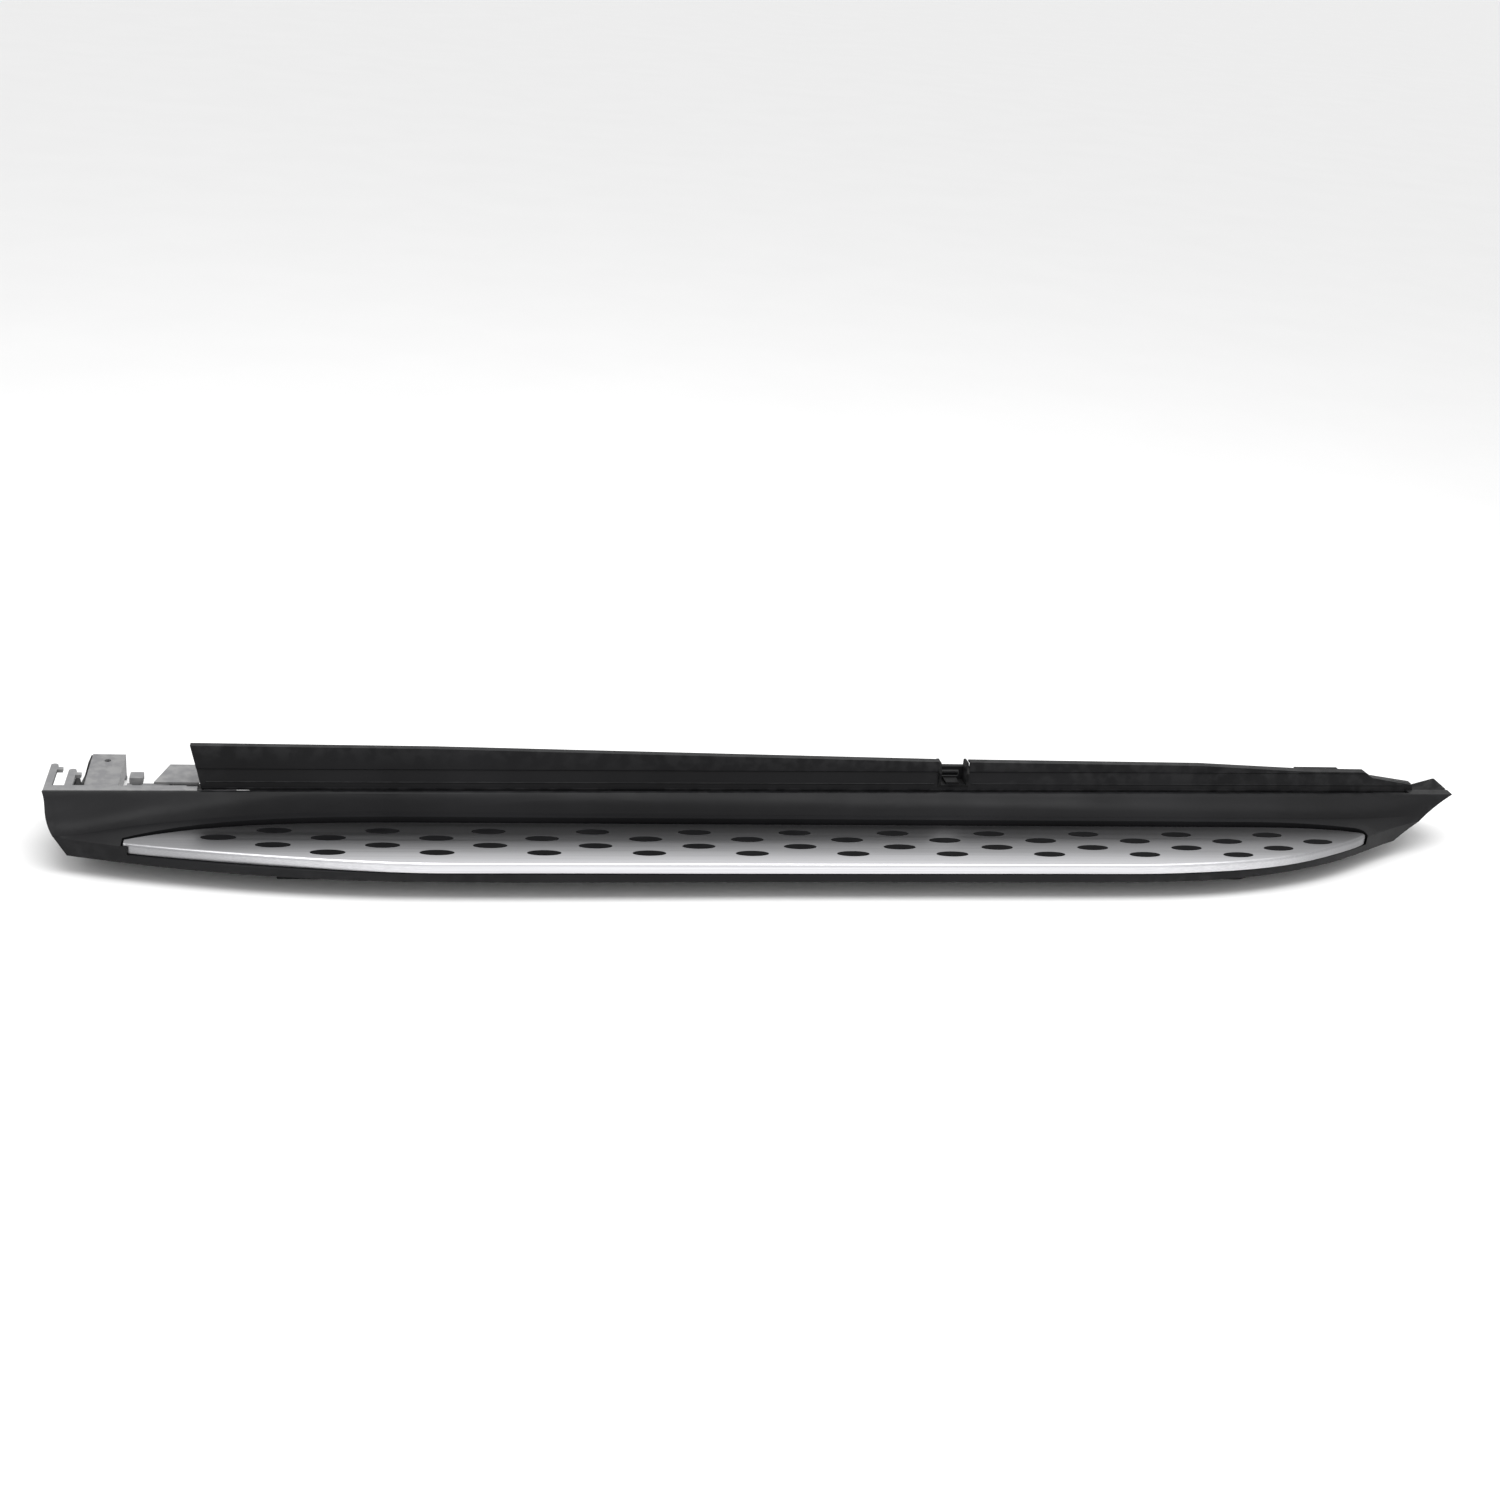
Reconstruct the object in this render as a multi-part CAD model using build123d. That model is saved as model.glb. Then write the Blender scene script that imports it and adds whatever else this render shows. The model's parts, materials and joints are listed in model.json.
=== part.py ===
"""Left-hand running board for a large off-road car: moulded step body, tall sill panel,
aluminium tread with rubber studs, inner carrier, hidden beam and the two wheel-arch ends.

Millimetres.  -X is the front of the car, -Y is outboard, +Z is up.
The origin is the middle of the underside, on the surface that the board stands on.
"""
from build123d import *
from math import atan, degrees
import os

# ---- overall -------------------------------------------------------------------------
DEPTH = 364.0              # front lip to the inboard face of the arms
FRONT_Y = -DEPTH / 2
INNER_Y = DEPTH / 2
WALL = 3.5                 # moulded plastic wall

# ---- tread ---------------------------------------------------------------------------
TREAD_Y = FRONT_Y + 65.0   # centreline of the tread
TREAD_Z = 52.0             # top of the tread plate
PLATE = 2.0                # aluminium sheet
MAT = 2.0                  # rubber mat under the plate
NOSE_DROP = 13.0           # height of the rolled nose of the plate
NOSE_R = 4.0
TRAY_Z = TREAD_Z - PLATE - MAT
REBATE_Z = TREAD_Z - NOSE_DROP - 1.0
COLUMNS = 23
COLUMN_PITCH = 69.0
COLUMN_MID = -15.0         # X of the middle column of studs
ROW_PITCH = 20.5
STUD_L = 45.0
STUD_W = 15.0
STUD_PROUD = 0.6
HOLE_GAP = 0.4

# ---- outer skin ----------------------------------------------------------------------
LIP_Z = 27.0               # underside of the front lip
SILL_Z = 82.0              # top edge of the roll behind the tread
SILL_Y = -23.0             # that edge at X = 0
SILL_SKEW = 0.0153         # the sill line runs slightly away from the tread, per mm of X
LEDGE = 16.0               # ledge between the roll and the tall panel
LEFT_TAPER_X = -480.0
RIGHT_TAPER_X = 430.0
FRONT_CUT = -960.0         # X of the front end cut at the lip underside
FRONT_LEAN = 0.69          # how far that cut leans out, per mm of height
REAR_CUT = 893.0
REAR_LEAN = 1.91

# ---- tall panel ----------------------------------------------------------------------
PANEL_X0 = -815.0
PANEL_X1 = 942.0
PANEL_TOP = 137.0
NOTCH_X0 = 205.0
NOTCH_X1 = 250.0
NOTCH_Z = 83.0

# ---- inner carrier -------------------------------------------------------------------
SHELF_Z = 38.0
SHELF_X0 = -742.0
SHELF_X1 = 718.0
POCKET_Y0 = 78.0
POCKET_Y1 = 146.0
POCKET_FLOOR = 8.0
POCKETS = ((-646, 124), (-358, 110), (-66, 104), (229, 108), (500, 104), (655, 88))
SLOT_X = (-548.0, -214.0, 96.0, 415.0, 578.0)   # mounting slots and their brackets
SLOT_R = 4.5
SLOT_Y = 156.0
ARCH_NOTCH_X = 320.0

# ---- arms ----------------------------------------------------------------------------
ARM_ROOT_Y = 52.0
FRONT_ARM = (-962.0, -918.0)
REAR_ARM = (838.0, 914.0)
ARM_HOLE_R = 4.5

# ---- beam and brackets ---------------------------------------------------------------
BEAM_Y0 = TREAD_Y
BEAM_Y1 = TREAD_Y + 60.0
BEAM_Z1 = SHELF_Z - WALL - 4.0
BEAM_H = 22.0
BEAM_X0 = -690.0
BEAM_X1 = 640.0
BRACKET_T = 4.0
BRACKET_W = 46.0

os.makedirs("parts", exist_ok=True)


def save(node, shape):
    solids = shape.solids() if hasattr(shape, "solids") else list(shape)
    body = solids[0] if len(solids) == 1 else Compound(children=list(solids))
    export_step(body, f"parts/{node}.step")


def block(x0, x1, y0, y1, z0, z1):
    return Pos((x0 + x1) / 2, (y0 + y1) / 2, (z0 + z1) / 2) * Box(x1 - x0, y1 - y0, z1 - z0)


def rod(x, y, z0, z1, r):
    return Pos(x, y, (z0 + z1) / 2) * Cylinder(r, z1 - z0)


def flat_bar(x, y, z0, z1, length, width):
    """Upright prism with an oblong outline along X."""
    return Pos(x, y, z0) * extrude(SlotOverall(length, width), z1 - z0)


def along_x(points, x0, x1):
    """Prism along X from an outline given as (Y, Z) points."""
    face = make_face(Polyline([(x0, y, z) for y, z in points], close=True))
    return extrude(face, x1 - x0, dir=(1, 0, 0))


def along_y(points, y0, y1):
    """Prism along Y from an outline given as (X, Z) points."""
    face = make_face(Polyline([(x, y0, z) for x, z in points], close=True))
    return extrude(face, y1 - y0, dir=(0, 1, 0))


def triangle(corner, dx, dy, z0, z1):
    """Flat right-angled web with its square corner at a point in plan."""
    x, y = corner
    return prism(make_face(Polyline([(x, y), (x + dx, y), (x, y + dy)], close=True)), z0, z1)


def skewed(shape):
    """Turn a piece built square to the tread onto the sill line."""
    return Rot(0, 0, degrees(atan(SILL_SKEW))) * shape


def sill_y(x):
    return SILL_Y + SILL_SKEW * x


def lip_y(x):
    """Front lip: straight in the middle, swept back at both ends."""
    if x < LEFT_TAPER_X:
        return FRONT_Y + 72.0 * ((LEFT_TAPER_X - x) / 480.0) ** 2
    if x > REAR_CUT:
        return FRONT_Y + 133.0 + 0.3 * (x - REAR_CUT)
    if x > RIGHT_TAPER_X:
        return FRONT_Y + 133.0 * ((x - RIGHT_TAPER_X) / 463.0) ** 2.4
    return FRONT_Y


def foot_y(x):
    """Foot of the roll behind the tread."""
    back = TREAD_Y + 73.0
    if x < -600.0:
        return max(back - 0.00047 * (x + 600.0) ** 2, lip_y(x) + 4.0)
    if x > 780.0:
        return max(back + 0.0004 * (x - 780.0) ** 2, lip_y(x) + 6.0)
    return back


def foot_z(x):
    rise = 6.0 if x > -600.0 else 6.0 - 0.000045 * (x + 600.0) ** 2
    return TREAD_Z + rise


def tread_outline(grow=0.0, back_extra=0.0):
    """Plan of the tread plate, a long leaf with a blunt front tip and a round rear end.

    Each point carries the direction in which it moves when the outline grows.
    """
    def moved(*points):
        return [(x + grow * nx, TREAD_Y + y + grow * ny + (back_extra if ny > 0.5 else 0))
                for x, y, nx, ny in points]

    tip_low, tip_high = (-889, -9, -1, -0.8), (-889, 2, -1, 0.6)
    nose_end, tail_start = (-480, -63.5, 0, -1), (440, -63.5, 0, -1)
    cap_start, cap_end = (826, 29, 0.8, -0.6), (819, 44, 0.3, 1)
    rear_end, rear_start = (600, 56, 0, 1), (-520, 56, 0, 1)
    nose = Spline(moved(tip_low, (-780, -31, -0.2, -1), (-640, -52, -0.1, -1), nose_end),
                  tangents=[(1, -0.25), (1, 0)])
    front = Polyline(moved(nose_end, tail_start))
    tail = Spline(moved(tail_start, (560, -57, 0.1, -1), (690, -33, 0.3, -1), (780, 3, 0.45, -0.9), cap_start),
                  tangents=[(1, 0), (1, 0.75)])
    cap = Spline(moved(cap_start, (830, 38, 1, 0.2), cap_end), tangents=[(1, 0.9), (-1, 0.25)])
    back = Spline(moved(cap_end, (740, 53, 0.05, 1), rear_end), tangents=[(-1, 0.12), (-1, 0)])
    rear = Polyline(moved(rear_end, rear_start))
    lead = Spline(moved(rear_start, (-700, 49, -0.1, 1), (-830, 25, -0.35, 0.95), tip_high),
                  tangents=[(-1, 0), (-1, -0.5)])
    tip = Polyline(moved(tip_high, tip_low))
    return make_face([nose, front, tail, cap, back, rear, lead, tip])


def prism(face, z0, z1):
    return extrude(Pos(0, 0, z0) * face, z1 - z0, dir=(0, 0, 1))


def skin_section(x):
    """Closed (Y, Z) section of the outer skin at one station."""
    yf, y1, z1, y2 = lip_y(x), foot_y(x), foot_z(x), sill_y(x)
    back = y2 + LEDGE
    roll = Spline((x, y1, z1), (x, y1 + 0.45 * (y2 - y1), z1 + 0.62 * (SILL_Z - z1)), (x, y2, SILL_Z),
                  tangents=[(0, 0.55, 1), (0, 1, 0.75)])
    low = Polyline((x, yf, LIP_Z), (x, yf, TREAD_Z - 2), (x, y1, z1))
    high = Polyline((x, y2, SILL_Z), (x, back, SILL_Z), (x, back, LIP_Z), (x, yf, LIP_Z))
    return make_face([low, roll, high])


STATIONS = (-1004, -960, -900, -820, -710, -600, -480, -150, 200, 430, 560, 690, 790, 860, 930, 1004)


def step_body():
    """Outer skin with the tray for the tread, the front lip and the roll behind."""
    outer = loft([skin_section(x) for x in STATIONS], ruled=False)
    hollow_low = loft([make_face(Polyline([(x, lip_y(x) + WALL, -5), (x, lip_y(x) + WALL, REBATE_Z - WALL),
                                           (x, sill_y(x) + LEDGE - WALL, REBATE_Z - WALL),
                                           (x, sill_y(x) + LEDGE - WALL, -5)], close=True))
                       for x in STATIONS], ruled=False)
    hollow_high = loft([roll_hollow(x) for x in STATIONS], ruled=False)
    pocket = prism(tread_outline(3.0, 3.5), TRAY_Z, TREAD_Z + 40)
    rim = prism(tread_outline(3.0, 3.5) - tread_outline(-6.0), REBATE_Z, TREAD_Z)
    body = outer - hollow_low - hollow_high - front_slant(0) - rear_slant(0) - pocket - rim - nose_step()
    ledge_groove = skewed(block(-1020, 930, SILL_Y + 4.0, SILL_Y + LEDGE + 1, SILL_Z - 5.0, SILL_Z + 1))
    under_wall = skewed(block(-1020, 1020, SILL_Y + LEDGE - WALL - 1, SILL_Y + LEDGE + 1, 0, SHELF_Z))
    body = body - ledge_groove - under_wall
    for cell in tray_cells():
        body = body - cell
    return body - [rod(x, y, REBATE_Z - 8, TREAD_Z, 3.2) for x, y in weld_studs()]


def nose_step():
    """Step along the swept front of the lip, so that the nose of the tread shows down to the rebate."""
    line = [(-884, -13), (-780, -33), (-640, -54), (-480, -65.5)]
    points = [(x, TREAD_Y + y) for x, y in line] + [(-480, FRONT_Y - 8), (-884, FRONT_Y - 8)]
    return prism(make_face(Polyline(points, close=True)), REBATE_Z, TREAD_Z + 4)


def roll_hollow(x):
    y1, z1, y2 = foot_y(x) + 6.0, foot_z(x) - 3.0, sill_y(x) + 3.0
    back = sill_y(x) + LEDGE - WALL
    top = SILL_Z - 8.5
    return make_face(Polyline([(x, y1, 20), (x, y1, z1 - 3), (x, y2 - 2, top), (x, back, top), (x, back, 20)],
                              close=True))


def tray_cells():
    """Cells between the stiffening ribs under the tray."""
    cells = []
    for i in range(16):
        x = -640 + 80 * i
        cells.append(block(x, x + 74, TREAD_Y - 40, TREAD_Y + 56, REBATE_Z - WALL - 2, TRAY_Z - 3))
    return cells


def weld_studs():
    return [(-603 + 160 * i, TREAD_Y) for i in range(8)]


def stud_places():
    """Oval studs: two per column in turn on rows 1 and 3, or 2 and 4; one in each end column."""
    places = []
    for i in range(COLUMNS):
        x = COLUMN_MID + (i - COLUMNS // 2) * COLUMN_PITCH
        rows = (1,) if i in (0, COLUMNS - 1) else ((0, 2) if i % 2 else (1, 3))
        places += [(x, TREAD_Y + (1.5 - row) * ROW_PITCH) for row in rows]
    return places


def oval(x, y, z0, z1, grow=0.0):
    return Pos(x, y, z0) * extrude(Ellipse(STUD_L / 2 + grow, STUD_W / 2 + grow), z1 - z0)


def tread_plate():
    """Pressed plate with a rolled nose, oval holes and studs welded underneath."""
    outer = prism(tread_outline(), TREAD_Z - NOSE_DROP, TREAD_Z)
    top_edges = outer.faces().sort_by(Axis.Z)[-1].edges()
    nose_edges = [edge for edge in top_edges if edge.center().Y < TREAD_Y - 5]
    outer = fillet(nose_edges, NOSE_R)
    core = prism(tread_outline(-2.2), TREAD_Z - NOSE_DROP - 1, TREAD_Z - PLATE)
    plate = outer - core
    plate = plate - [oval(x, y, TREAD_Z - 5, TREAD_Z + 5) for x, y in stud_places()]
    return plate + [rod(x, y, TRAY_Z - 11, TREAD_Z - PLATE + 0.2, 2.5) for x, y in weld_studs()]


def tread_mat():
    """Rubber mat whose oval studs stand up through the plate."""
    mat = prism(tread_outline(-7.0), TRAY_Z, TRAY_Z + MAT)
    mat = mat - [rod(x, y, TRAY_Z - 1, TREAD_Z, 3.2) for x, y in weld_studs()]
    studs = []
    for x, y in stud_places():
        stud = oval(x, y, TRAY_Z + MAT - 0.5, TREAD_Z + STUD_PROUD, -HOLE_GAP)
        studs.append(fillet(stud.faces().sort_by(Axis.Z)[-1].edges(), 0.5))
    return mat + studs


def tread_nuts():
    nuts = []
    for x, y in weld_studs():
        nut = Pos(x, y, TRAY_Z - 7.5) * extrude(RegularPolygon(4.8, 6), 4.5)
        nuts.append(nut - rod(x, y, TRAY_Z - 9, TRAY_Z, 2.5))
    return nuts


def panel_top(x):
    """Height of the tall panel, falling gently to the rear with a step near its end."""
    marks = ((PANEL_X0, 137), (-500, 134.5), (-140, 127), (200, 120), (600, 116), (765, 108), (862, 107),
             (876, 98), (PANEL_X1, 88))
    for (xa, za), (xb, zb) in zip(marks, marks[1:]):
        if x <= xb:
            return za + (zb - za) * (x - xa) / (xb - xa)
    return marks[-1][1]


PANEL_X = (PANEL_X0, -500, -140, 200, 600, 765, 862, 876, PANEL_X1)
PANEL_FOOT = SILL_Z - 5.0
PANEL_Y = SILL_Y + LEDGE


def panel_outline(drop, z0):
    top = [(x, panel_top(x) - drop) for x in PANEL_X]
    return [(PANEL_X0 + 14, z0)] + top + [(PANEL_X1, z0)]


def sill_panel():
    """Tall upright panel with a folded top edge, rear gussets and a foot on the carrier."""
    front = [(PANEL_Y + 1, PANEL_FOOT), (PANEL_Y + 2, PANEL_FOOT + 3.5), (PANEL_Y + 7.5, 104),
             (PANEL_Y + 6, 105.5), (PANEL_Y + 9.5, 145)]
    back = [(y + 3.0, z) for y, z in reversed(front)]
    sheet = along_x(front + back, PANEL_X0, PANEL_X1)
    band = along_y(panel_outline(0.0, PANEL_FOOT), PANEL_Y - 20, PANEL_Y + 60)
    fold = along_y(panel_outline(0.0, PANEL_FOOT), PANEL_Y + 9, PANEL_Y + 18)
    fold = fold - along_y(panel_outline(2.5, PANEL_FOOT - 2), PANEL_Y - 20, PANEL_Y + 60)
    fold = fold & along_y([(x, z) for x, z in panel_outline(-1.0, 84)], PANEL_Y, PANEL_Y + 60)
    foot = block(PANEL_X0 + 14, PANEL_X1, PANEL_Y + 1, PANEL_Y + 19, PANEL_FOOT, PANEL_FOOT + 3)
    panel = (sheet & band) + (fold & band) + foot
    ribs = []
    for x in (-670, -565, -522, -433, -332, -289, -199, -90, 110, 340, 430, 524, 620, 712, 800):
        high = min(panel_top(x) - 8, 112)
        ribs.append(Pos(x, 0, 0) * along_x([(PANEL_Y + 3, PANEL_FOOT + 2), (PANEL_Y + 18, PANEL_FOOT + 2),
                                            (PANEL_Y + 10.5, high), (PANEL_Y + 8.5, high)], -1.25, 1.25))
    panel = panel + ribs
    notch = block(NOTCH_X0, NOTCH_X1, PANEL_Y - 5, PANEL_Y + 40, NOTCH_Z, 150)
    panel = panel - notch
    panel = panel - [Pos(x, PANEL_Y + 14.5, PANEL_FOOT + 1) * Cylinder(2.3, 10) for x in panel_screw_x()]
    return skewed(panel)


def panel_screw_x():
    return (-702, -440, -233, -66, 151, 385, 540, 690)


def panel_screws():
    """Flanged screws that hold the foot of the tall panel down on the carrier."""
    screws = []
    for x in panel_screw_x():
        head = Pos(x, PANEL_Y + 14.5, PANEL_FOOT + 3) * extrude(RegularPolygon(3.6, 6), 3.2)
        flange = rod(x, PANEL_Y + 14.5, PANEL_FOOT + 3, PANEL_FOOT + 4, 4.3)
        shank = rod(x, PANEL_Y + 14.5, PANEL_FOOT - 7, PANEL_FOOT + 3, 2.0)
        screws.append(skewed(head + flange + shank))
    return screws


def notch_clip():
    """Locating seat in the notch of the tall panel: a cradle with raised sides and a rear window."""
    x0, x1 = NOTCH_X0 + 0.6, NOTCH_X1 - 0.6
    y0, y1 = PANEL_Y + 2.5, PANEL_Y + 26
    floor_z = NOTCH_Z + 0.4
    seat = block(x0, x1, y0, y1, floor_z, floor_z + 3)
    sides = [along_x([(y0, floor_z), (y1, floor_z), (y1, 117), (y0 + 8, 117), (y0, 104)], x, x + 3.5)
             for x in (x0, x1 - 3.5)]
    frame = block(x0, x1, y1 - 3, y1, floor_z, 106) - block(x0 + 9, x1 - 9, y1 - 5, y1 + 2, 91, 101)
    tongue = block(x0 + 12, x1 - 12, y0 + 3, y1 - 2, floor_z, floor_z + 6)
    cradle = seat + sides + frame + tongue
    feet = block(x0 + 5, x1 - 5, PANEL_Y + 20.5, y1, PANEL_FOOT, floor_z + 1)
    return skewed(cradle + feet)


def carrier():
    """Inner shelf with pockets, mounting slots, a drop flange and the stepped wall behind the sill."""
    shelf = block(SHELF_X0, SHELF_X1, -34, INNER_Y - 5, SHELF_Z - WALL, SHELF_Z)
    flange = block(SHELF_X0, SHELF_X1, INNER_Y - 5 - WALL, INNER_Y - 5, 0, SHELF_Z)
    flange = flange + block(SHELF_X0, SHELF_X1, INNER_Y - 6, INNER_Y - 2.5, 0, 14)
    flange = flange + block(SHELF_X0, SHELF_X1, INNER_Y - 6, INNER_Y, 0, 3)
    sides = [block(x, x + WALL, 60, INNER_Y - 5, 0, SHELF_Z) for x in (SHELF_X0, SHELF_X1 - WALL)]
    wall_points = [(PANEL_Y + 2, PANEL_FOOT - 3), (PANEL_Y + 22, PANEL_FOOT - 3), (PANEL_Y + 22, 60),
                   (PANEL_Y + 40, 60), (PANEL_Y + 46, SHELF_Z - 1), (PANEL_Y + 42.5, SHELF_Z - 1),
                   (PANEL_Y + 37.5, 57), (PANEL_Y + 19, 57), (PANEL_Y + 19, PANEL_FOOT - 6),
                   (PANEL_Y + 2, PANEL_FOOT - 6)]
    wall_points = [(y, z + (3 if z > 65 else 0)) for y, z in wall_points]
    wall = skewed(along_x(wall_points, SHELF_X0 + 2, SHELF_X1 - 2))
    body = shelf + flange + sides + wall
    boxes = [block(x - w / 2 - 2.5, x + w / 2 + 2.5, POCKET_Y0 - 2.5, POCKET_Y1 + 2.5, POCKET_FLOOR - 2.5, SHELF_Z)
             for x, w in POCKETS]
    body = body + boxes
    body = body - [block(x - w / 2, x + w / 2, POCKET_Y0, POCKET_Y1, POCKET_FLOOR, SHELF_Z + 5) for x, w in POCKETS]
    slope = [(PANEL_Y + 38, 57), (PANEL_Y + 48, 55), (PANEL_Y + 58, 48), (PANEL_Y + 63, SHELF_Z - 1),
             (PANEL_Y + 38, SHELF_Z - 1)]
    ribs = [skewed(along_x(slope, x, x + 2.2)) for x in comb_places()]
    body = body + ribs
    gussets = [skewed(along_x([(PANEL_Y + 21, 58), (PANEL_Y + 38, 59), (PANEL_Y + 21, 73)], x - 1.25, x + 1.25))
               for x in range(-700, 700, 100)]
    body = body + gussets
    bead = [block(x - 67, x + 67, POCKET_Y0 - 14, POCKET_Y0 - 10, SHELF_Z - 1, SHELF_Z + 2)
            for x, _ in POCKETS[:5]]
    body = body + bead
    body = body - [mount_slot(x) for x in SLOT_X]
    arch = Pos(ARCH_NOTCH_X, INNER_Y, SHELF_Z - 20) * Cylinder(15, 60)
    body = body - arch - block(ARCH_NOTCH_X - 15, ARCH_NOTCH_X + 15, INNER_Y - 14, INNER_Y + 5, -1, SHELF_Z + 5)
    long_slots = [skewed(Pos(x, PANEL_Y + 31, 50) * extrude(SlotOverall(26, 7), 20))
                  for x in (-641, -350, 45, 106, 290, 512, 650)]
    body = body - long_slots
    screw_holes = [skewed(rod(x, PANEL_Y + 14.5, PANEL_FOOT - 10, PANEL_FOOT + 1, 2.0)) for x in panel_screw_x()]
    return body - screw_holes


def comb_places():
    return [-690 + 20 * i for i in range(69)]


def mount_slot(x):
    """Key slot in plan: a narrow throat that flares to a wide mouth through the flange."""
    mouth = make_face(Polyline([(x - 5.5, 136), (x + 5.5, 136), (x + 9, 148), (x + 28, 170), (x + 28, 195),
                                (x - 28, 195), (x - 28, 170), (x - 9, 148)], close=True))
    throat = Pos(x, 136, 14) * extrude(Rot(0, 0, 90) * SlotOverall(36, 11), 46)
    return throat + prism(mouth, 14, 60)


def mount_bracket(x):
    """Flat steel outrigger from the beam to one mounting slot."""
    bar = block(x - BRACKET_W / 2, x + BRACKET_W / 2, BEAM_Y0 + 2, INNER_Y - 10, BEAM_Z1, BEAM_Z1 + BRACKET_T)
    rear_corners = bar.edges().filter_by(Axis.Z).group_by(Axis.Y)[-1]
    bar = chamfer(rear_corners, 10)
    bar = bar - rod(x, SLOT_Y, BEAM_Z1 - 1, BEAM_Z1 + 10, SLOT_R)
    return bar - [rod(x, y, BEAM_Z1 - 1, BEAM_Z1 + 10, 4.2) for y in bolt_ys()]


def bolt_ys():
    return (BEAM_Y0 + 15, BEAM_Y1 - 15)


def bracket_bolts():
    bolts = []
    for x in SLOT_X:
        for y in bolt_ys():
            top = BEAM_Z1 + BRACKET_T
            head = Pos(x, y, top) * extrude(RegularPolygon(6.5, 6), 4.0)
            bolts.append(head + rod(x, y, BEAM_Z1 - 12, top, 4.0))
    return bolts


def bracket_nuts():
    """Rivet nuts in the top wall of the beam."""
    nuts = []
    for x in SLOT_X:
        for y in bolt_ys():
            sleeve = rod(x, y, BEAM_Z1 - 11, BEAM_Z1 - 2.5, 6.2)
            nuts.append(sleeve - rod(x, y, BEAM_Z1 - 13, BEAM_Z1, 4.0))
    return nuts


def support_beam():
    """Extruded aluminium box that carries the tread load between the brackets."""
    z0 = BEAM_Z1 - BEAM_H
    tube = block(BEAM_X0, BEAM_X1, BEAM_Y0, BEAM_Y1, z0, BEAM_Z1)
    inner = block(BEAM_X0 - 1, BEAM_X1 + 1, BEAM_Y0 + 2.5, BEAM_Y1 - 2.5, z0 + 2.5, BEAM_Z1 - 2.5)
    web = block(BEAM_X0, BEAM_X1, BEAM_Y0 + 29, BEAM_Y0 + 31, z0 + 1, BEAM_Z1 - 1)
    return tube - inner + web - [rod(x, y, BEAM_Z1 - 4, BEAM_Z1 + 2, 4.2) for x in SLOT_X for y in bolt_ys()]


def beam_plugs():
    """Moulded plugs in the two ends of the beam."""
    z0 = BEAM_Z1 - BEAM_H
    plugs = []
    for x, side in ((BEAM_X0, -1), (BEAM_X1, 1)):
        cap = block(min(x, x + 3 * side), max(x, x + 3 * side), BEAM_Y0, BEAM_Y1, z0, BEAM_Z1)
        legs = [block(min(x, x - 12 * side), max(x, x - 12 * side), y, y + 24, z0 + 3, BEAM_Z1 - 3)
                for y in (BEAM_Y0 + 3.2, BEAM_Y0 + 32.8)]
        plugs.append(cap + legs)
    return plugs


COVER_X0 = -700.0
COVER_X1 = 630.0
COVER_SCREW_X = [COVER_X0 + 40 + 139 * i for i in range(10)]


def bottom_cover():
    """Bent cover that closes the underside below the beam."""
    y0 = FRONT_Y + WALL + 1.0
    top = [(y0, REBATE_Z - WALL), (y0 + 14, REBATE_Z - WALL), (TREAD_Y - 4, 2.5), (SILL_Y - 18, 2.5)]
    low = [(SILL_Y - 18, 0), (TREAD_Y - 5.5, 0), (y0 + 12.5, REBATE_Z - WALL - 2.5), (y0, REBATE_Z - WALL - 2.5)]
    cover = along_x(top + low, COVER_X0, COVER_X1)
    keep = loft([make_face(Polyline([(x, lip_y(x) + WALL + 1, -5), (x, lip_y(x) + WALL + 1, 60), (x, 30, 60),
                                     (x, 30, -5)], close=True)) for x in (-700, -600, -480, 0, 430, 530, 630)],
                ruled=True)
    cover = cover & keep
    drains = [Pos(x, TREAD_Y + 70, 0) * flat_bar(0, 0, -1, 5, 22, 6) for x in range(-600, 600, 150)]
    return cover - drains - [rod(x, cover_screw_y(x), 10, 60, 2.4) for x in COVER_SCREW_X]


def cover_screw_y(x):
    return lip_y(x) + WALL + 8.5 if -560 < x < 500 else FRONT_Y + WALL + 1 + 26


def cover_screws():
    """Pan screws up through the front flange of the cover."""
    screws = []
    for x in COVER_SCREW_X[1:-1]:
        y = cover_screw_y(x)
        z = REBATE_Z - WALL - 2.5
        screws.append(rod(x, y, z - 2.5, z, 4.5) + rod(x, y, z - 1, z + 2.5, 2.2))
    return screws


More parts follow.
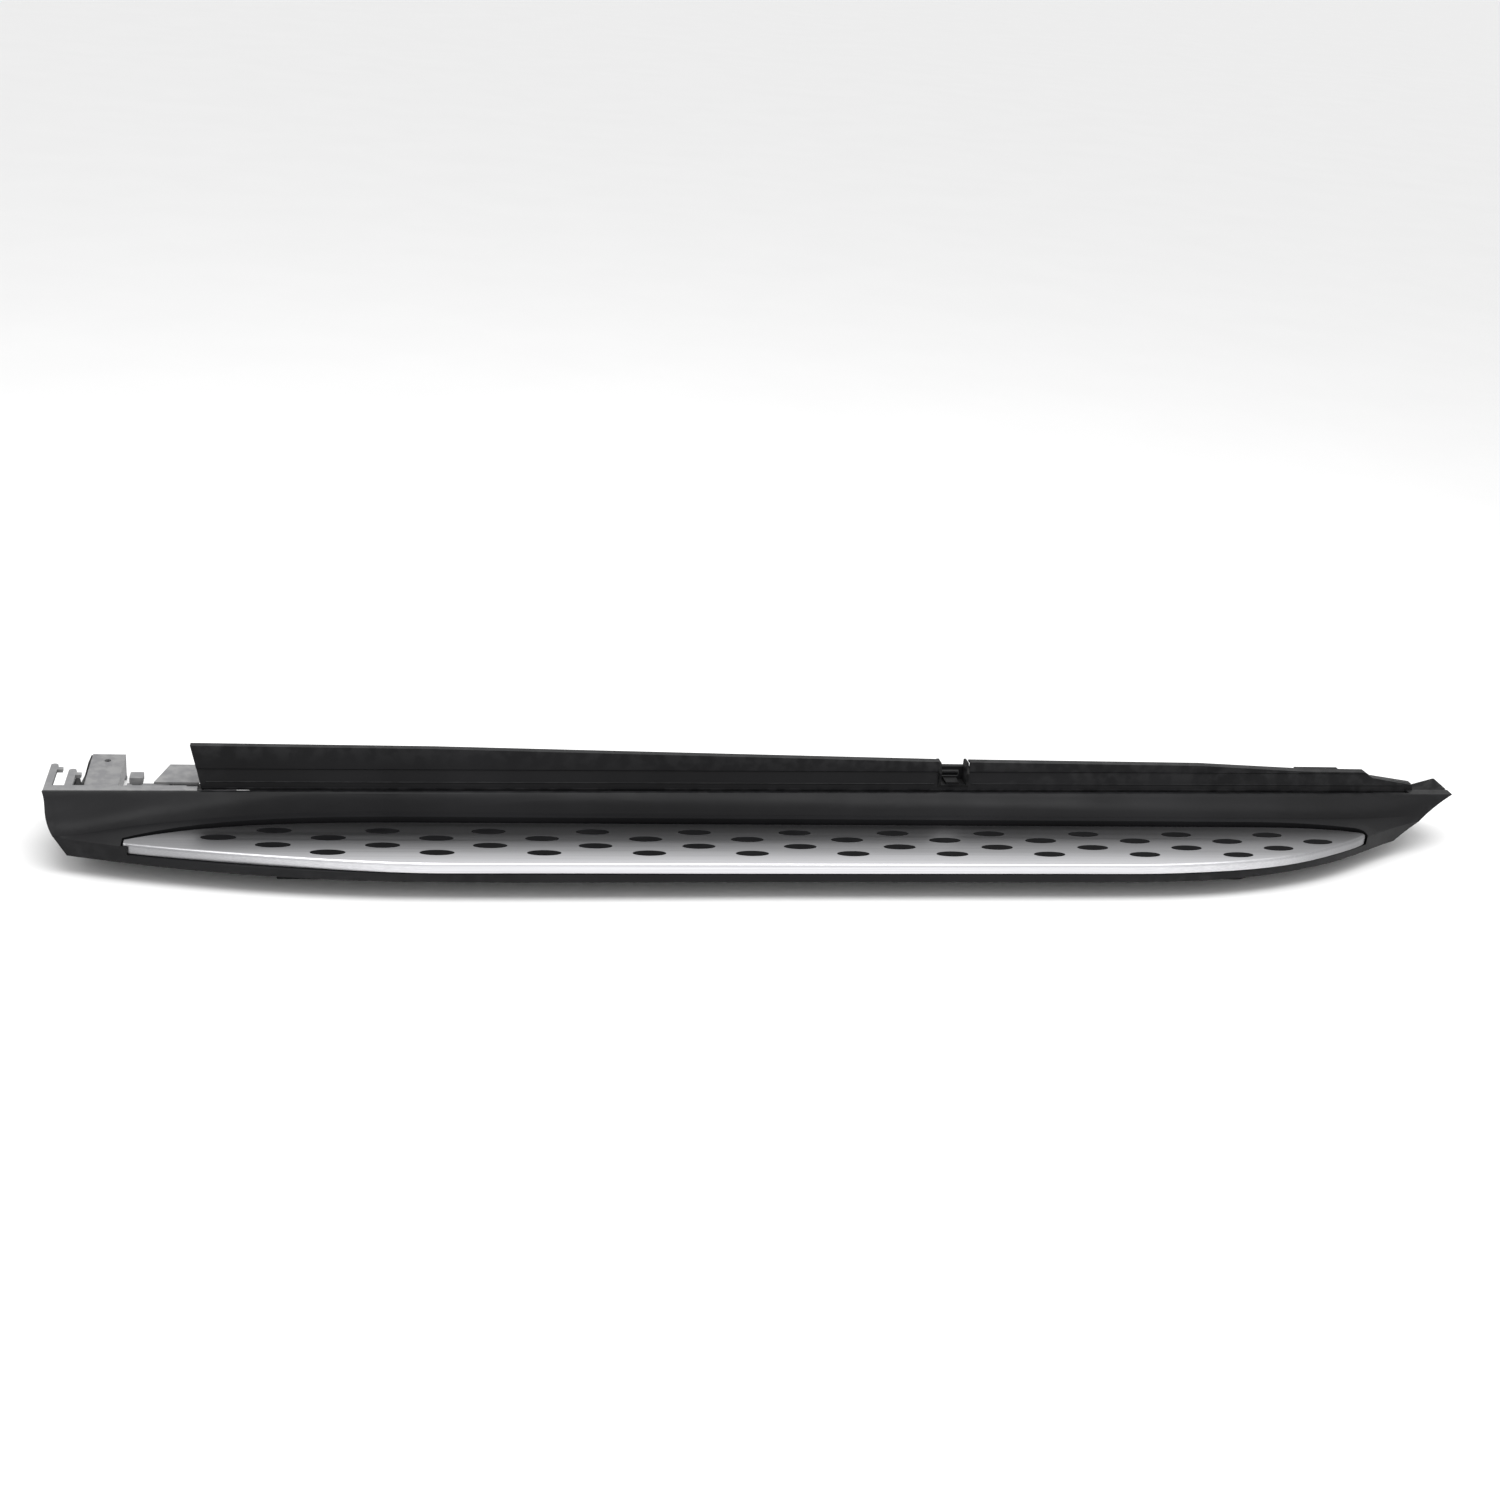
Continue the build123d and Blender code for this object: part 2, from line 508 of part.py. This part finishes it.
def front_moulding():
    """Front inner moulding with its arm: top flange, two locating hooks, wide tab, floor and end face."""
    x0, x1 = FRONT_ARM
    floor = block(-955, SHELF_X0, -34, ARM_ROOT_Y, SHELF_Z - WALL, SHELF_Z)
    drop = block(x1, SHELF_X0, ARM_ROOT_Y - WALL, ARM_ROOT_Y, 10, SHELF_Z)
    arm = block(x0, x1, ARM_ROOT_Y - 6, INNER_Y, SHELF_Z - WALL, SHELF_Z)
    arm_end = block(x0, x1, INNER_Y - 5 - WALL, INNER_Y - 5, 0, SHELF_Z)
    arm_end = arm_end + block(x0, x1, INNER_Y - 6, INNER_Y, 0, 3)
    arm = arm - block(x0 - 1, x1 + 1, INNER_Y - 5, INNER_Y + 1, 4, 50)
    arm_left = block(x0, x0 + WALL, 0, INNER_Y - 5, 6, SHELF_Z)
    arm_right = block(x1 - WALL, x1, ARM_ROOT_Y - 6, INNER_Y - 5, 10, SHELF_Z)
    corner = triangle((x1 - 1, ARM_ROOT_Y - 1), 43, 59, SHELF_Z - 22, SHELF_Z - 18)
    wall = skewed(block(-950, -820, PANEL_Y + 1, PANEL_Y + 4, SHELF_Z - 1, SILL_Z))
    strip = skewed(block(-1010, -806, SILL_Y + 4.4, PANEL_Y + 1, SILL_Z - 4.6, SILL_Z))
    ledge = skewed(block(-1010, -846, PANEL_Y + 0.9, PANEL_Y + 4, SILL_Z - 4.6, SILL_Z))
    lower_ledge = block(-900, -760, PANEL_Y + 6, 30, 60, 63) + block(-763, -760, PANEL_Y + 6, 40, SHELF_Z - 1, 63)
    tab = prism(make_face(Polyline([(-862, PANEL_Y + 1), (-846, 50), (-790, 50), (-790, 12), (-804.5, 12),
                                    (-804.5, PANEL_Y + 1)], close=True)), SILL_Z - 3, SILL_Z)
    tab_ribs = [block(x, x + 3, y, 48, SHELF_Z - 1, SILL_Z - 2) for x, y in ((-843, 0), (-796, 16))]
    hooks = []
    for x, reach in ((-993, 44), (-968, 28)):
        finger = block(x - 5, x + 5, PANEL_Y - 15, reach, SILL_Z - 4.6, SILL_Z)
        tip = prism(Pos(x, reach) * Circle(5), SILL_Z - 4.6, SILL_Z)
        nib = block(x + 4, x + 12, reach - 14, reach - 6, SILL_Z - 4.6, SILL_Z)
        hooks += [finger + tip + nib]
    web = skewed(block(-968, -950, PANEL_Y + 1, PANEL_Y + 4, 60, SILL_Z))
    bump = block(-893, -876, PANEL_Y + 2, 14, SILL_Z - 4, SILL_Z + 5)
    bump_post = block(-890, -879, PANEL_Y + 2, 10, SHELF_Z - 1, SILL_Z - 3)
    body = floor + drop + arm + arm_end + arm_left + arm_right + corner + wall + strip + ledge + lower_ledge
    body = body + tab + tab_ribs + hooks + web + bump + bump_post
    body = body - front_slant(0.5)
    return body - rod((x0 + x1) / 2, INNER_Y - 26, 10, SHELF_Z + 5, ARM_HOLE_R)


def rear_moulding():
    """Rear inner moulding with its arm: floor, cranked corner, ribs and the jacking cut-out edge."""
    x0, x1 = REAR_ARM
    floor = block(SHELF_X1, x1, -27, ARM_ROOT_Y, SHELF_Z - WALL, SHELF_Z)
    drop = block(SHELF_X1, x0, ARM_ROOT_Y - WALL, ARM_ROOT_Y, 6, SHELF_Z)
    arm = block(x0, x1, ARM_ROOT_Y - 6, INNER_Y, SHELF_Z - WALL, SHELF_Z)
    arm_end = block(x0, x1 - 20, INNER_Y - WALL, INNER_Y, 0, SHELF_Z)
    arm_left = block(x0, x0 + WALL, ARM_ROOT_Y - 6, INNER_Y, 6, SHELF_Z)
    crank = triangle((x0 + 1, ARM_ROOT_Y - 1), -35, 27, SHELF_Z - WALL, SHELF_Z)
    wall = skewed(block(SHELF_X1 + 6, 880, PANEL_Y + 19, PANEL_Y + 22, SHELF_Z - 1, PANEL_FOOT))
    cap = skewed(block(SHELF_X1 + 6, 880, PANEL_Y + 2, PANEL_Y + 22, PANEL_FOOT - 3, PANEL_FOOT))
    ribs = [skewed(along_x([(PANEL_Y + 21, SHELF_Z - 1), (PANEL_Y + 48, SHELF_Z - 1), (PANEL_Y + 21, 70)],
                           x - 1.25, x + 1.25)) for x in (745, 790, 835, 872)]
    teeth = [block(x, x + 6, ARM_ROOT_Y - 1, ARM_ROOT_Y + 5, SHELF_Z - 10, SHELF_Z) for x in range(740, 830, 22)]
    body = floor + drop + arm + arm_end + arm_left + crank + wall + cap + ribs + teeth
    body = body - rod(SHELF_X1 + 60, 20, 10, SHELF_Z + 5, 5) - flat_bar(SHELF_X1 + 60, 28, 10, SHELF_Z + 5, 8, 7)
    cut = rear_slant(-4.2)
    return (body - cut) - rod((x0 + x1) / 2, INNER_Y - 22, 10, SHELF_Z + 5, ARM_HOLE_R)


def arm_zone(x0, x1):
    """Room that the arm takes inboard of the joint with its moulding."""
    return block(x0, x1, ARM_ROOT_Y, INNER_Y + 5, -5, SHELF_Z + 5)


def rear_slant(gap):
    """Everything rearward of the leaning rear end, moved by a gap along X."""
    x0 = REAR_CUT - REAR_LEAN * LIP_Z + gap
    x1 = REAR_CUT + REAR_LEAN * (110 - LIP_Z) + gap
    return along_y([(x0, 0), (x1, 110), (x1 + 400, 110), (x1 + 400, -10), (x0 - REAR_LEAN * 10, -10)],
                   FRONT_Y - 40, INNER_Y + 40)


def front_slant(gap):
    x0 = FRONT_CUT + FRONT_LEAN * LIP_Z + gap
    x1 = FRONT_CUT - FRONT_LEAN * (110 - LIP_Z) + gap
    return along_y([(x0, 0), (x1, 110), (x1 - 400, 110), (x1 - 400, -10), (x0 + FRONT_LEAN * 10, -10)],
                   FRONT_Y - 40, INNER_Y + 40)


def rear_arch_plate():
    """Leaning closing plate at the rear wheel arch, waisted between the sill and the arm."""
    outline = [(-28, 34), (-25, 44), (-10, 62), (-3, 70), (1.5, 70), (1.5, 37.5), (10, 37.5), (10, SILL_Z),
               (48, SILL_Z), (62, 60), (84, 42), (120, 38.5), (166, 38.5),
               (INNER_Y, 30), (INNER_Y, 2), (140, 0), (110, 20), (60, 24), (10, 22), (-28, 26)]
    prism_x = along_x(outline, 780, 1080)
    plate = (prism_x & rear_slant(-4.0)) - rear_slant(-1.0)
    return plate - [Pos(0, y, z) * Rot(0, 90, 0) * Cylinder(2.6, 3000) for y, z in REAR_ARCH_HOLES]


REAR_ARCH_HOLES = ((30.0, 62.0), (160.0, 20.0))
FRONT_ARCH_HOLES = ((-20.0, 34.0), (30.0, 52.0), (160.0, 20.0))


def front_arch_plate():
    """Upright closing plate at the front wheel arch."""
    outline = [(-96, 34), (-96, 43), (-40, 68), (-28, 70), (-28, 37.5), (-16.5, 37.5), (-16.5, 74),
               (40, 70), (62, 44), (110, 36), (150, 38),
               (INNER_Y, 34), (INNER_Y, 0), (150, 0), (120, 14), (40, 16), (-40, 22), (-96, 29)]
    plate = along_x(outline, FRONT_ARM[0] - 3.0, FRONT_ARM[0])
    return plate - [Pos(FRONT_ARM[0], y, z) * Rot(0, 90, 0) * Cylinder(2.6, 30) for y, z in FRONT_ARCH_HOLES]


if __name__ == "__main__":
    save("step_body", step_body())
    save("sill_panel", sill_panel())
    save("tread_plate", tread_plate())
    save("tread_mat", tread_mat())
    save("tread_nuts", ShapeList(tread_nuts()))
    save("panel_screws", ShapeList(panel_screws()))
    save("notch_clip", notch_clip())
    save("carrier", carrier())
    for number, place in enumerate(SLOT_X, start=1):
        save(f"mount_bracket_{number}", mount_bracket(place))
    save("bracket_bolts", ShapeList(bracket_bolts()))
    save("bracket_nuts", ShapeList(bracket_nuts()))
    save("support_beam", support_beam())
    save("beam_plugs", ShapeList(beam_plugs()))
    save("bottom_cover", bottom_cover())
    save("cover_screws", ShapeList(cover_screws()))
    front, rear = front_moulding(), rear_moulding()
    front_zone = arm_zone(FRONT_ARM[0] - 30, FRONT_ARM[1] + 80)
    rear_zone = arm_zone(REAR_ARM[0] - 37, REAR_ARM[1] + 80)
    save("front_end_support", front - front_zone)
    save("front_arm", front & front_zone)
    save("rear_end_support", rear - rear_zone)
    save("rear_arm", rear & rear_zone)
    save("rear_arch_plate", rear_arch_plate())
    save("front_arch_plate", front_arch_plate())
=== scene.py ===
import json
import math
import bmesh
import bpy
from mathutils import Matrix, Vector


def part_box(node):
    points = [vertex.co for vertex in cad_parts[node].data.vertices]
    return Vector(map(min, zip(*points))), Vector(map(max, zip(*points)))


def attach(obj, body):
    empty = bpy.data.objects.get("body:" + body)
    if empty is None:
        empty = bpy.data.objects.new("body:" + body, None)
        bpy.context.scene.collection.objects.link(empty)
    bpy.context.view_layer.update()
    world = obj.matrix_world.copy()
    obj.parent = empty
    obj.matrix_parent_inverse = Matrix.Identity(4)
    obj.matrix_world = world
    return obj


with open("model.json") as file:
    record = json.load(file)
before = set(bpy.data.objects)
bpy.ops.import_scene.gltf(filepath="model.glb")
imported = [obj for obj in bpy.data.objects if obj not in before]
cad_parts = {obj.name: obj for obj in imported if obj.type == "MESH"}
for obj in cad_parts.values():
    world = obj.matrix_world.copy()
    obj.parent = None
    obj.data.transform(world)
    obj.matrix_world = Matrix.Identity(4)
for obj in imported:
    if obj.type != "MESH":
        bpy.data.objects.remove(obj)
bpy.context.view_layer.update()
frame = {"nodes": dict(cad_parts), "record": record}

NODES = frame["nodes"]

# ---- camera: the photograph's viewing angle ------------------------------------------
CAMERA_PLACE = (-0.5946, -2.4697, 1.2430)
CAMERA_YAW = math.radians(12.0)
CAMERA_PITCH = math.radians(23.67)
CAMERA_ROLL = math.radians(5.61)
CAMERA_LENS = 48.0


def make_camera():
    data = bpy.data.cameras.new("camera")
    data.lens = CAMERA_LENS
    data.sensor_width = 36.0
    camera = bpy.data.objects.new("camera", data)
    bpy.context.collection.objects.link(camera)
    ahead = Vector((math.sin(CAMERA_YAW) * math.cos(CAMERA_PITCH),
                    math.cos(CAMERA_YAW) * math.cos(CAMERA_PITCH), -math.sin(CAMERA_PITCH)))
    right = Vector((math.cos(CAMERA_YAW), -math.sin(CAMERA_YAW), 0.0))
    up = right.cross(ahead)
    side = right * math.cos(CAMERA_ROLL) + up * math.sin(CAMERA_ROLL)
    top = up * math.cos(CAMERA_ROLL) - right * math.sin(CAMERA_ROLL)
    turn = Matrix((side, top, -ahead)).transposed()
    camera.matrix_world = Matrix.Translation(CAMERA_PLACE) @ turn.to_4x4()
    bpy.context.scene.camera = camera


# ---- tread: painted shade and crown bump ---------------------------------------------
CROWN = 1.3              # per metre
TREAD_FRONT = -0.185     # Y of the nose and of the edge at the sill, for the painted shade that darkens the tread toward the sill
TREAD_BACK = -0.055
# painted shade: how much the tread's colour is kept, from the nose (0) to the sill (1), darker
# toward the sill
TREAD_PAINTED_SHADES = [(0.0, 1.0), (0.12, 0.82), (0.35, 0.42), (0.65, 0.24), (1.0, 0.15)]
CROWN_Y = -0.105         # crest of the arch across the tread

# ---- node helpers --------------------------------------------------------------------
class Nodes:
    """Short hand for building a shader tree."""

    def __init__(self, name):
        self.material = bpy.data.materials.new(name)
        self.material.use_nodes = True
        self.tree = self.material.node_tree
        self.shader = self.tree.nodes["Principled BSDF"]

    def add(self, kind, **values):
        node = self.tree.nodes.new(kind)
        for key, value in values.items():
            if hasattr(node, key):
                setattr(node, key, value)
            else:
                node.inputs[key.replace("_", " ")].default_value = value
        return node

    def link(self, start, end):
        self.tree.links.new(start, end)

    def coords(self, scale=(1, 1, 1)):
        place = self.add("ShaderNodeTexCoord")
        mapping = self.add("ShaderNodeMapping")
        mapping.inputs["Scale"].default_value = scale
        self.link(place.outputs["Object"], mapping.inputs["Vector"])
        return mapping.outputs["Vector"]

    def noise(self, scale, detail=3.0, stretch=(1, 1, 1)):
        node = self.add("ShaderNodeTexNoise")
        node.inputs["Scale"].default_value = scale
        node.inputs["Detail"].default_value = detail
        self.link(self.coords(stretch), node.inputs["Vector"])
        return node.outputs["Fac"]

    def ramp(self, source, stops):
        node = self.add("ShaderNodeValToRGB")
        elements = node.color_ramp.elements
        while len(elements) < len(stops):
            elements.new(0.5)
        for element, (place, value) in zip(elements, stops):
            element.position = place
            shade = value if isinstance(value, tuple) else (value, value, value)
            element.color = (*shade, 1.0)
        self.link(source, node.inputs["Fac"])
        return node.outputs["Color"]

    def mix(self, factor, first, second):
        node = self.add("ShaderNodeMix", data_type="RGBA")
        for key, value in (("Factor", factor), ("A", first), ("B", second)):
            socket = node.inputs[key]
            if hasattr(value, "links"):
                self.link(value, socket)
            elif isinstance(value, tuple):
                socket.default_value = (*value, 1.0)
            else:
                socket.default_value = value
        return node.outputs["Result"]

    def drive(self, socket, source):
        """Feed an input of the surface shader."""
        self.link(source, self.shader.inputs[socket])

    def clouded(self, source, dark, light, low=0.3, high=0.7):
        """Colour that drifts from dark to light with a noise."""
        return self.mix(self.ramp(source, [(low, 0.0), (high, 1.0)]), dark, light)

    def bump(self, height, strength, distance, after=None):
        node = self.add("ShaderNodeBump")
        node.inputs["Strength"].default_value = strength
        node.inputs["Distance"].default_value = distance
        self.link(height, node.inputs["Height"])
        if after is not None:
            self.link(after, node.inputs["Normal"])
        return node.outputs["Normal"]


    def crown(self, value, curvature):
        """Height of a shallow arch across the tread, in metres."""
        offset = self.add("ShaderNodeMath", operation="SUBTRACT")
        self.link(value, offset.inputs[0])
        offset.inputs[1].default_value = CROWN_Y
        square = self.add("ShaderNodeMath", operation="MULTIPLY")
        self.link(offset.outputs["Value"], square.inputs[0])
        self.link(offset.outputs["Value"], square.inputs[1])
        height = self.add("ShaderNodeMath", operation="MULTIPLY")
        self.link(square.outputs["Value"], height.inputs[0])
        height.inputs[1].default_value = -curvature
        return height.outputs["Value"]


def edge_wear(nodes, low=0.52, high=0.62):
    """Mask of convex edges, broken up by noise."""
    geometry = nodes.add("ShaderNodeNewGeometry")
    edge = nodes.ramp(geometry.outputs["Pointiness"], [(low, 0.0), (high, 1.0)])
    patch = nodes.ramp(nodes.noise(60.0, 4.0), [(0.42, 0.0), (0.6, 1.0)])
    product = nodes.add("ShaderNodeMath", operation="MULTIPLY")
    nodes.link(edge, product.inputs[0])
    nodes.link(patch, product.inputs[1])
    return product.outputs["Value"]


def moulded_plastic(name, dark, light, worn, rough, grain=900.0, grain_depth=0.00006, specular=0.5):
    """Grained moulded plastic with cloudy colour, polished and dusty patches and rubbed edges."""
    n = Nodes(name)
    cloud = n.noise(6.0, 5.0)
    colour = n.clouded(cloud, dark, light)
    n.drive("Base Color", n.mix(edge_wear(n), colour, worn))
    patches = n.noise(14.0, 6.0)
    n.drive("Roughness", n.ramp(patches, [(0.25, rough - 0.06), (0.75, rough + 0.08)]))
    coarse = n.bump(n.noise(35.0, 2.0), 0.15, 0.0004)
    fine = n.bump(n.noise(grain, 2.0), 0.5, grain_depth, coarse)
    n.drive("Normal", fine)
    n.shader.inputs["Specular IOR Level"].default_value = specular
    return n.material


def brushed_aluminium(name, dark, light, rough=0.3, painted_shade=0.0, crown=0.0):
    """Satin anodised aluminium, brushed along the board, with a painted shade of the given strength
    that darkens it toward the sill.

    crown is the curvature that a pressed plate shows across its width, per metre.
    """
    n = Nodes(name)
    lines = n.noise(1.0, 6.0, (2.5, 1400.0, 1400.0))
    broad = n.noise(1.0, 3.0, (1.2, 160.0, 160.0))
    colour = n.clouded(lines, dark, light)
    across = n.add("ShaderNodeSeparateXYZ")
    n.link(n.coords(), across.inputs["Vector"])
    # painted shade: the base colour is multiplied darker by position across the tread, from the
    # nose toward the sill
    depth = n.add("ShaderNodeMapRange")
    n.link(across.outputs["Y"], depth.inputs["Value"])
    for socket, value in (("From Min", TREAD_FRONT), ("From Max", TREAD_BACK)):
        depth.inputs[socket].default_value = value
    shade = n.ramp(depth.outputs["Result"], TREAD_PAINTED_SHADES)
    painted_shade_mix = n.add("ShaderNodeMix", data_type="RGBA", blend_type="MULTIPLY")
    painted_shade_mix.inputs["Factor"].default_value = painted_shade
    n.link(colour, painted_shade_mix.inputs["A"])
    n.link(shade, painted_shade_mix.inputs["B"])
    n.drive("Base Color", painted_shade_mix.outputs["Result"])
    n.drive("Roughness", n.ramp(broad, [(0.3, rough - 0.04), (0.7, rough + 0.06)]))
    crowned = n.bump(n.crown(across.outputs["Y"], crown), 1.0, 1.0) if crown else None
    n.drive("Normal", n.bump(lines, 0.35, 0.00003, crowned))
    n.shader.inputs["Metallic"].default_value = 1.0
    return n.material


def stud_rubber(name):
    """Matt black rubber."""
    n = Nodes(name)
    cloud = n.noise(40.0, 4.0)
    dark, light = (0.0015, 0.0015, 0.002), (0.004, 0.004, 0.0045)
    n.drive("Base Color", n.clouded(cloud, dark, light, 0.35, 0.65))
    n.drive("Roughness", n.ramp(cloud, [(0.3, 0.62), (0.7, 0.78)]))
    n.drive("Normal", n.bump(n.noise(1500.0, 2.0), 0.5, 0.00005))
    n.shader.inputs["Specular IOR Level"].default_value = 0.1
    return n.material


def metal(name, dark, light, rough, metallic=1.0):
    """Plated steel, or coated steel with metallic at 0."""
    n = Nodes(name)
    n.drive("Base Color", n.clouded(n.noise(25.0, 5.0), dark, light))
    n.drive("Roughness", n.ramp(n.noise(90.0, 4.0), [(0.3, rough - 0.07), (0.7, rough + 0.1)]))
    n.drive("Normal", n.bump(n.noise(500.0, 3.0), 0.2, 0.00004))
    n.shader.inputs["Metallic"].default_value = metallic
    return n.material


def grey(value, blue=0.0):
    return (value, value, value + blue)


FINISH = {
    "skin_plastic": moulded_plastic("skin_plastic", grey(0.006, 0.0005), grey(0.011, 0.001),
                                    grey(0.02, 0.001), 0.42, specular=0.13),
    "carrier_plastic": moulded_plastic("carrier_plastic", grey(0.005, 0.0005), grey(0.010, 0.0005),
                                       grey(0.025), 0.52, grain=500.0, grain_depth=0.0001,
                                       specular=0.11),
    # inner_plastic is the same black plastic as the carrier: its light grey colour is painted
    # light, a lit copy standing in for the top light on its faces
    "inner_plastic": moulded_plastic("inner_plastic", grey(0.155, 0.005), grey(0.185, 0.005),
                                     grey(0.22), 0.62, grain=420.0, grain_depth=0.00015),
    # the tread carries the painted shade at strength 0.9, so its colour is painted darker toward
    # the sill
    "tread_aluminium": brushed_aluminium("tread_aluminium", grey(0.60, 0.02), grey(0.78, 0.02),
                                         0.33, 0.9, CROWN),
    "beam_aluminium": brushed_aluminium("beam_aluminium", grey(0.5, 0.01), grey(0.62, 0.01), 0.4),
    "stud_rubber": stud_rubber("stud_rubber"),
    "bracket_steel": metal("bracket_steel", grey(0.02, 0.001), grey(0.035, 0.001), 0.42, 0.0),
    "zinc_steel": metal("zinc_steel", grey(0.45, -0.02), grey(0.6, -0.03), 0.35),
}


def dress_nodes():
    """Give every CAD node the finish of its slot."""
    for part in frame["record"]["subparts"]:
        node = NODES[part["node"]]
        node.data.materials.clear()
        node.data.materials.append(FINISH[part["material_slot"]])


# ---- moulded details -----------------------------------------------------------------
SKEW = 0.0153            # the sill line runs slightly away from the tread
SHELF_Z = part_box("carrier")[0][2] + 0.038
LEDGE_Z = SHELF_Z + 0.022
POCKETS = ((-0.646, 0.124), (-0.358, 0.110), (-0.066, 0.104),      # middle X and width
           (0.229, 0.108), (0.500, 0.104), (0.655, 0.088))
POCKET_Y = (0.078, 0.146)
RIM_GAP = 0.003          # from the edge of a pocket to its rim
RIM_R = 0.0016
RIM_CORNER = 0.008
BOSS_X = (-0.466, -0.004, 0.465)
BOSS_Y = 0.030
BOSS = [(0.009, -0.006), (0.009, 0.0015), (0.011, 0.0025), (0.017, 0.0025), (0.019, 0.0010),
        (0.019, -0.022), (0.0165, -0.022), (0.0165, -0.006)]       # radius and height
LEDGE_BEAD_X = (-0.73, 0.70)
LEDGE_BEAD_Y = 0.0325
LEDGE_BEAD_R = 0.0012
FLANGE_INSET = 0.005     # from the inboard face of the carrier to its flange
FLANGE_BEAD_X = (-0.735, -0.16)
FLANGE_BEAD_Z = 0.009
BEAD_R = 0.0010
PANEL_BEADS = ((-0.795, 0.200), (0.255, 0.925))                    # on both sides of the notch
PANEL_BEAD_Y = -0.0035
PANEL_BEAD_Z = 0.0875


def add_piece(piece, slot_name):
    """Dress a detail piece in the finish of its slot and tie it to the board."""
    piece.data.materials.append(FINISH[slot_name])
    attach(piece, "root")


def bead(name, points, radius, slot_name, closed=False):
    """Round bead along a line of points."""
    data = bpy.data.curves.new(name, "CURVE")
    data.dimensions = "3D"
    data.bevel_depth = radius
    data.bevel_resolution = 3
    spline = data.splines.new("POLY")
    spline.points.add(len(points) - 1)
    for point, place in zip(spline.points, points):
        point.co = (*place, 1.0)
    spline.use_cyclic_u = closed
    piece = bpy.data.objects.new(name, data)
    bpy.context.collection.objects.link(piece)
    add_piece(piece, slot_name)


def rounded_rectangle(x0, x1, y0, y1, z, radius, steps=5):
    points = []
    corners = ((x1 - radius, y1 - radius, 0), (x0 + radius, y1 - radius, 1),
               (x0 + radius, y0 + radius, 2), (x1 - radius, y0 + radius, 3))
    for cx, cy, quarter in corners:
        for step in range(steps + 1):
            angle = math.pi / 2 * (quarter + step / steps)
            points.append((cx + radius * math.cos(angle), cy + radius * math.sin(angle), z))
    return points


def turned(name, profile, place, slot_name, steps=40):
    """Ring turned about an upright axis from (radius, height) points."""
    x, y, z = place
    turns = [(math.cos(2 * math.pi * i / steps), math.sin(2 * math.pi * i / steps))
             for i in range(steps)]
    mesh = bmesh.new()
    rings = [[mesh.verts.new((x + radius * across, y + radius * along, z + height))
              for across, along in turns] for radius, height in profile]
    for low, high in zip(rings, rings[1:] + rings[:1]):
        for i in range(steps):
            j = (i + 1) % steps
            mesh.faces.new((low[i], low[j], high[j], high[i]))
    bmesh.ops.recalc_face_normals(mesh, faces=mesh.faces)
    data = bpy.data.meshes.new(name)
    mesh.to_mesh(data)
    mesh.free()
    piece = bpy.data.objects.new(name, data)
    bpy.context.collection.objects.link(piece)
    bevel = piece.modifiers.new("round", "BEVEL")
    bevel.width, bevel.segments, bevel.limit_method = 0.0006, 2, "ANGLE"
    add_piece(piece, slot_name)


def skewed(x, y, z):
    """Place on the sill line's slant."""
    return (x, y + SKEW * x, z)


def make_details():
    """Pocket rims, bosses on the ridge, and beads along the ledge, the flange and the panel."""
    y0, y1 = POCKET_Y[0] - RIM_GAP, POCKET_Y[1] + RIM_GAP
    for number, (x, width) in enumerate(POCKETS, start=1):
        half = width / 2 + RIM_GAP
        outline = rounded_rectangle(x - half, x + half, y0, y1, SHELF_Z, RIM_CORNER)
        bead(f"pocket_rim_{number}", outline, RIM_R, "carrier_plastic", closed=True)
    for number, x in enumerate(BOSS_X, start=1):
        turned(f"ridge_boss_{number}", BOSS, skewed(x, BOSS_Y, LEDGE_Z), "carrier_plastic")
    ledge = [skewed(x, LEDGE_BEAD_Y, LEDGE_Z) for x in LEDGE_BEAD_X]
    bead("ledge_bead", ledge, LEDGE_BEAD_R, "carrier_plastic")
    flange_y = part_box("carrier")[1][1] - FLANGE_INSET
    flange = [(x, flange_y, FLANGE_BEAD_Z) for x in FLANGE_BEAD_X]
    bead("flange_bead", flange, BEAD_R, "carrier_plastic")
    for number, ends in enumerate(PANEL_BEADS, start=1):
        line = [skewed(x, PANEL_BEAD_Y, PANEL_BEAD_Z) for x in ends]
        bead(f"panel_bead_{number}", line, BEAD_R, "skin_plastic")


# ---- studio --------------------------------------------------------------------------
FLOOR_SIZE = 120.0
FLOOR_GAP = 0.0005
TOP_LIGHT_PLACE = (0.0, -0.6, 2.6)
TOP_LIGHT_SIZE = (3.4, 1.6)
TOP_LIGHT_POWER = 62.0


def make_floor():
    """White studio floor, just under the board."""
    bpy.ops.mesh.primitive_plane_add(size=FLOOR_SIZE, location=(0, 0, -FLOOR_GAP))
    floor = bpy.context.object
    floor.name = "floor"
    n = Nodes("floor")
    n.drive("Base Color", n.mix(n.noise(3.0, 3.0), grey(0.83), grey(0.86)))
    n.shader.inputs["Roughness"].default_value = 0.9
    n.shader.inputs["Specular IOR Level"].default_value = 0.1
    floor.data.materials.append(n.material)


def area_light(name, place, target, size, power):
    data = bpy.data.lights.new(name, "AREA")
    data.shape = "RECTANGLE"
    data.size, data.size_y = size
    data.energy = power
    lamp = bpy.data.objects.new(name, data)
    bpy.context.collection.objects.link(lamp)
    lamp.location = place
    lamp.rotation_euler = (Vector(target) - Vector(place)).to_track_quat("-Z", "Y").to_euler()


def make_light():
    world = bpy.data.worlds.new("studio")
    bpy.context.scene.world = world
    world.use_nodes = True
    background = world.node_tree.nodes["Background"]
    background.inputs["Color"].default_value = (1.0, 1.0, 1.0, 1.0)
    background.inputs["Strength"].default_value = 1.0
    area_light("top_box", TOP_LIGHT_PLACE, (0, 0, 0), TOP_LIGHT_SIZE, TOP_LIGHT_POWER)
    bpy.context.scene.view_settings.view_transform = "Standard"


dress_nodes()
make_details()
make_camera()
make_floor()
make_light()
